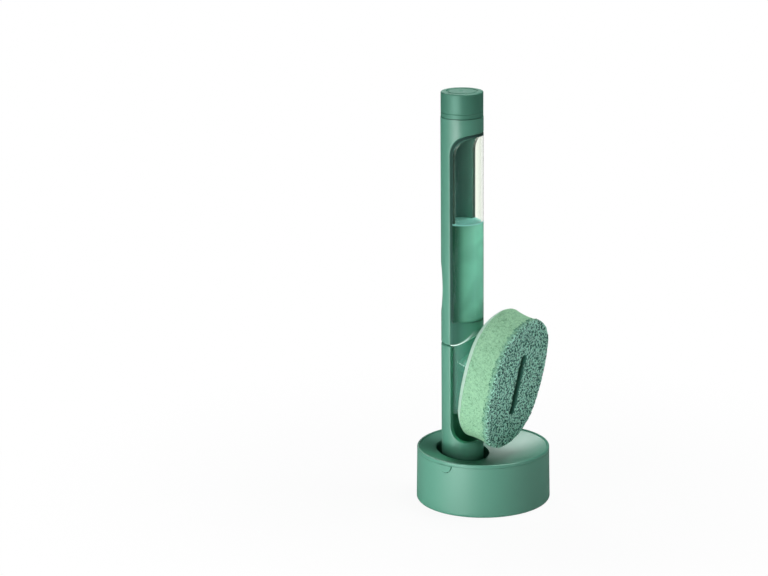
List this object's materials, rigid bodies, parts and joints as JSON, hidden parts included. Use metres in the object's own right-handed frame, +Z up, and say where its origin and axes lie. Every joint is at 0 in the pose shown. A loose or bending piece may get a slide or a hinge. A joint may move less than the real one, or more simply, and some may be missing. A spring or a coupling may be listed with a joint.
{
  "type": "dish wand with drain stand",
  "caption": "Soap-filled dish wand with a clear bottle in a half-tube handle, a screw cap and an oval scrub pad, standing in a round drain stand with a post and a lift-out tray.",
  "frame": {"origin": "centre of the stand's underside, on the table", "axes": "+Z up along the handle, -Y out of the scrub pad, +X to the right of the pad seen from the front"},
  "size_m": [0.1014, 0.1014, 0.3114],
  "materials": {
    "stand_plastic": "satin",
    "tray_plastic": "satin",
    "handle_plastic": "satin",
    "clear_plastic": "clear",
    "soap": "clear liquid",
    "seal_rubber": "matte",
    "valve_rubber": "matte",
    "plate_plastic": "frosted",
    "foam": "open-cell foam",
    "scrub_fibre": "coarse fibre"
  },
  "bodies": {
    "stand": {"stand_cup": "stand_plastic", "holder_post": "stand_plastic"},
    "tray": {"drain_tray": "tray_plastic"},
    "wand": {"handle_shell": "handle_plastic", "soap_bottle": "clear_plastic", "soap": "soap", "scrub_head": "clear_plastic", "neck_seal_ring": "seal_rubber", "outlet_valve": "valve_rubber", "valve_ring": "clear_plastic"},
    "cap_thread": {"cap_seal": "seal_rubber"},
    "cap": {"cap": "handle_plastic"},
    "pad": {"pad_plate": "plate_plastic", "pad_foam": "foam", "scrub_layer": "scrub_fibre"}
  },
  "joints": [
    {"name": "tray_lift", "type": "slide", "parent": "stand", "child": "tray", "axis": [0, 0, 1], "range_m": [0, 0.105]},
    {"name": "wand_lift", "type": "slide", "parent": "tray", "child": "wand", "axis": [0, 0, 1], "range_m": [0, 0.1]},
    {"name": "cap_rise", "type": "slide", "parent": "wand", "child": "cap_thread", "axis": [0, 0, 1], "range_m": [0, 0.006]},
    {"name": "cap_twist", "type": "hinge", "parent": "cap_thread", "child": "cap", "pos_m": [0, 0.019, 0.3], "axis": [0, 0, 1], "range_deg": [0, 720]},
    {"name": "pad_release", "type": "slide", "parent": "wand", "child": "pad", "axis": [0, -0.972, -0.2351], "range_m": [0, 0.012]}
  ],
  "couplings": [
    {"joint": "cap_twist", "follows": "cap_rise", "rad_per_m": 2094.4}
  ]
}
